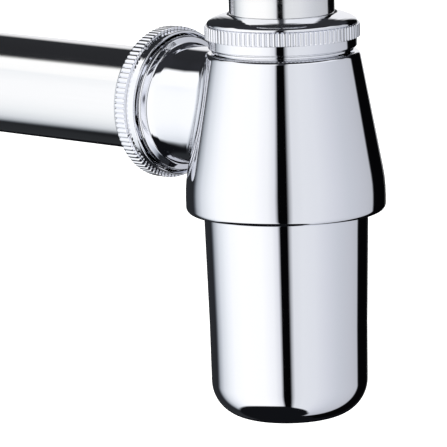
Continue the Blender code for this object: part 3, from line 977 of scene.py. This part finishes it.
class TRAP_OT_wall_flange(bpy.types.Operator):
    """Builds the wall flange and the ring that grips the pipe inside it"""

    bl_idname = "bottle_trap.wall_flange"
    bl_label = "Wall Flange"

    def execute(self, context):
        sizes = context.scene.trap_flange
        pipe = context.scene.trap_tubes.radius / MM
        edge, rise = sizes.radius / MM, sizes.rise / MM
        place = outlet_joint()
        wall = (place.translation.x - low("wall_flange").x) / MM
        collar = pipe + 3.2
        near = wall - rise
        plate = [
            (edge, wall, 0.1),
            (edge, wall - 1.5, 0.9),
            (collar + 5.0, near + 8.4, 6.0),
            (collar, near + 7.6, 3.2),
            (collar, near, 0.9),
            (pipe + 0.6, near, 0.35),
            (pipe + 0.6, near + 1.0, 0.3),
            (collar - 1.0, near + 1.0, 0.6),
            (collar - 1.0, near + 8.2, 2.6),
            (collar + 4.4, near + 9.4, 5.0),
            (edge - 2.2, wall - 1.0, 0.4),
            (edge - 2.2, wall, 0.1),
        ]
        piece = turned("fine_wall_flange", plate, place, polished_chrome(), around=288)
        fitted(piece, "wall_flange", "wall_flange")
        section = (high("flange_grip_ring").x - low("flange_grip_ring").x) / MM / 2
        middle = (place.translation.x - high("flange_grip_ring").x) / MM + section
        centre = pipe + 0.3 + section
        turns = [math.tau * i / 20 for i in range(20)]
        ring = [(centre + section * math.cos(t), middle - section * math.sin(t)) for t in turns]
        piece = turned("fine_flange_grip_ring", ring, place, moulded_rubber())
        fitted(piece, "flange_grip", "flange_grip_ring")
        return {"FINISHED"}


# ---- the studio --------------------------------------------------------------------------------------
# What stands round the trap, in degrees right of the camera, seen from the trap: a tall softbox on the
# left, a dark gap where the camera stands, a grey wall on the right and a pale backdrop behind.
ROUND_THE_ROOM = (
    (-180, "E9E9EB"),
    (-175.5, "E9E9EB"),
    (-172, "2B2D30"),
    (-135, "26282B"),
    (-131, "50545A"),
    (-125, "A3A8AE"),
    (-114, "D4D8DD"),
    (-100, "ECEFF2"),
    (-88, "FAFBFD"),
    (-70, "FFFFFF"),
    (-38, "FDFDFE"),
    (-22, "F1F2F4"),
    (-14, "DCDDE2"),
    (-11.5, "A2A3A8"),
    (-10, "050506"),
    (0.5, "040405"),
    (3, "A4A6AA"),
    (7, "D9DBDF"),
    (20, "DEE0E4"),
    (38, "DBDDE2"),
    (57, "D0D2D9"),
    (77, "C4C7CE"),
    (100, "BCBEC5"),
    (117, "B4B6BC"),
    (120, "050506"),
    (160, "050506"),
    (166, "E9E9EB"),
    (180, "E9E9EB"),
)
ABOVE_THE_WALL = (
    (-180, "2A2B2E"),
    (-120, "26272A"),
    (-114, "FFFFFF"),
    (-14, "F4F5F8"),
    (-8, "3A3B40"),
    (2, "3A3B40"),
    (10, "F2F4F8"),
    (95, "E8EAF0"),
    (115, "303238"),
    (180, "2A2B2E"),
)
# How far below level each part of the room reaches, as shares of 100 degrees.
LOWEST_LIGHT = (
    (-180, 0.07),
    (-171, 0.07),
    (-167, 0.46),
    (-90, 0.46),
    (-12, 0.50),
    (8, 0.56),
    (60, 0.72),
    (120, 0.80),
    (158, 0.60),
    (162, 0.07),
    (180, 0.07),
)


class TRAP_OT_studio(bpy.types.Operator):
    """Builds the floor, the light round the trap and the camera"""

    bl_idname = "bottle_trap.studio"
    bl_label = "Studio"

    def execute(self, context):
        sizes = context.scene.trap_studio
        self.sweep(context, sizes)
        self.light(context, sizes)
        self.camera(context, sizes)
        return {"FINISHED"}

    def sweep(self, context, sizes):
        """A round pale floor that curves up into a wall. Only the camera sees it, so it can't darken
        the trap or show in the chrome."""
        floor = low("cup_shell").z - sizes.floor_drop
        bowl = [
            (0.0, 0.0),
            *[(r * 1000.0, 0.0) for r in (0.5, 1.0, 2.0, 4.0, 6.0)],
            (9000.0, 0.0, 2500.0, 1),
            (9000.0, 9000.0),
            (9060.0, 9000.0),
            (9060.0, -60.0, 2560.0, 1),
            (0.0, -60.0),
        ]
        made = turned(
            "studio_sweep", bowl, Matrix.Translation((0, 0, floor)), painted_sweep(), around=96, closed=False
        )
        made.visible_diffuse = False
        made.visible_glossy = False
        made.visible_transmission = False
        made.visible_shadow = False

    def light(self, context, sizes):
        world = bpy.data.worlds.new("studio_room")
        context.scene.world = world
        world.use_nodes = True
        tree = world.node_tree
        tree.nodes.clear()
        towards = add(tree, "ShaderNodeTexCoord").outputs["Generated"]
        parts = add(tree, "ShaderNodeSeparateXYZ", {0: towards}).outputs
        facing = sizes.camera_turn - math.pi / 2
        angle = add(tree, "ShaderNodeMath", {0: parts[1], 1: parts[0]}, {"operation": "ARCTAN2"}).outputs[0]
        turned_to = add(tree, "ShaderNodeMath", {0: angle, 1: facing}, {"operation": "SUBTRACT"}).outputs[0]
        wrapped = add(
            tree, "ShaderNodeMath", {0: turned_to, 1: math.pi, 2: -math.pi}, {"operation": "WRAP"}
        ).outputs[0]
        across = add(tree, "ShaderNodeMapRange", {0: wrapped, 1: -math.pi, 2: math.pi}).outputs[0]
        rise = add(tree, "ShaderNodeMath", {0: parts[2]}, {"operation": "ARCSINE"}).outputs[0]
        walls = [
            add(
                tree,
                "ShaderNodeValToRGB",
                {"Fac": across},
                stops=[((deg + 180) / 360, linear(shade)) for deg, shade in band],
            ).outputs["Color"]
            for band in (ROUND_THE_ROOM, ABOVE_THE_WALL)
        ]
        seen = walls[0]
        reach = add(
            tree,
            "ShaderNodeValToRGB",
            {"Fac": across},
            stops=[((deg + 180) / 360, (share, share, share, 1)) for deg, share in LOWEST_LIGHT],
        ).outputs["Color"]
        lowest = add(
            tree, "ShaderNodeMath", {0: reach, 1: math.radians(100)}, {"operation": "MULTIPLY"}
        ).outputs[0]
        above = add(tree, "ShaderNodeMath", {0: rise, 1: lowest}, {"operation": "ADD"}).outputs[0]
        for height, start, end, before, after in (
            (rise, 26, 32, None, walls[1]),
            (rise, 46, 50, None, linear("2C2D31")),
            (above, -2, 2, linear("101114"), None),
        ):
            step = add(
                tree,
                "ShaderNodeMapRange",
                {0: height, 1: math.radians(start), 2: math.radians(end)},
                {"interpolation_type": "SMOOTHSTEP"},
            ).outputs[0]
            seen = add(
                tree,
                "ShaderNodeMix",
                {0: step, 6: before or seen, 7: after or seen},
                {"data_type": "RGBA"},
            ).outputs[2]
        glow = add(tree, "ShaderNodeBackground", {"Color": seen, "Strength": sizes.light_strength})
        add(tree, "ShaderNodeOutputWorld", {"Surface": glow.outputs[0]})
        lamp = bpy.data.lights.new("overhead_softbox", "SUN")
        lamp.energy = 2.6
        lamp.angle = math.radians(70)
        overhead = bpy.data.objects.new("overhead_softbox", lamp)
        overhead.visible_glossy = False
        context.scene.collection.objects.link(overhead)
        context.scene.view_settings.view_transform = "Standard"
        context.scene.view_settings.look = "None"

    def camera(self, context, sizes):
        turn, rise, roll = sizes.camera_turn, sizes.camera_rise, sizes.camera_roll
        right = Vector((math.cos(turn), math.sin(turn), 0))
        back = Vector(
            (math.sin(turn) * math.cos(rise), -math.cos(turn) * math.cos(rise), math.sin(rise))
        )
        up = back.cross(right)
        across = right * math.cos(roll) + up * math.sin(roll)
        upward = up * math.cos(roll) - right * math.sin(roll)
        height = inlet_joint().translation.z - AIM_DROP * MM
        aim = Vector((0, 0, height)) - right * AIM_LEFT * MM
        place = Matrix((across, upward, back)).transposed().to_4x4()
        place.translation = aim + back * sizes.camera_distance
        lens = bpy.data.cameras.new("studio_camera")
        lens.lens = sizes.camera_lens
        lens.clip_end = 100.0
        made = bpy.data.objects.new("studio_camera", lens)
        made.matrix_world = place
        context.scene.collection.objects.link(made)
        context.scene.camera = made


class TRAP_PT_panel(bpy.types.Panel):
    """Every step of the trap, in order"""

    bl_label = "Bottle Trap"
    bl_idname = "TRAP_PT_panel"
    bl_space_type = "VIEW_3D"
    bl_region_type = "UI"
    bl_category = "Bottle Trap"

    def draw(self, context):
        for kind in OPERATORS:
            self.layout.operator(kind.bl_idname)
        for name in SETTINGS:
            box = self.layout.box()
            group = getattr(context.scene, name)
            for entry in group.bl_rna.properties:
                if entry.identifier not in ("name", "rna_type"):
                    box.prop(group, entry.identifier)


OPERATORS = (
    TRAP_OT_tail,
    TRAP_OT_nuts,
    TRAP_OT_seals,
    TRAP_OT_bell,
    TRAP_OT_spigots,
    TRAP_OT_sleeve,
    TRAP_OT_cup,
    TRAP_OT_outlet_pipe,
    TRAP_OT_wall_flange,
    TRAP_OT_studio,
)
SETTINGS = {
    "trap_tubes": TubeSizes,
    "trap_nuts": NutSizes,
    "trap_bell": BellSizes,
    "trap_cup": CupSizes,
    "trap_flange": FlangeSizes,
    "trap_colours": FinishColours,
    "trap_studio": StudioSettings,
}


def register():
    for kind in (*SETTINGS.values(), *OPERATORS, TRAP_PT_panel):
        bpy.utils.register_class(kind)
    for name, kind in SETTINGS.items():
        setattr(bpy.types.Scene, name, PointerProperty(type=kind))


def unregister():
    for name in SETTINGS:
        delattr(bpy.types.Scene, name)
    for kind in (TRAP_PT_panel, *reversed(OPERATORS), *reversed(SETTINGS.values())):
        bpy.utils.unregister_class(kind)


def main():
    register()
    for kind in OPERATORS:
        step = getattr(bpy.ops.bottle_trap, kind.bl_idname.split(".")[1])
        step()


if __name__ == "__main__":
    main()
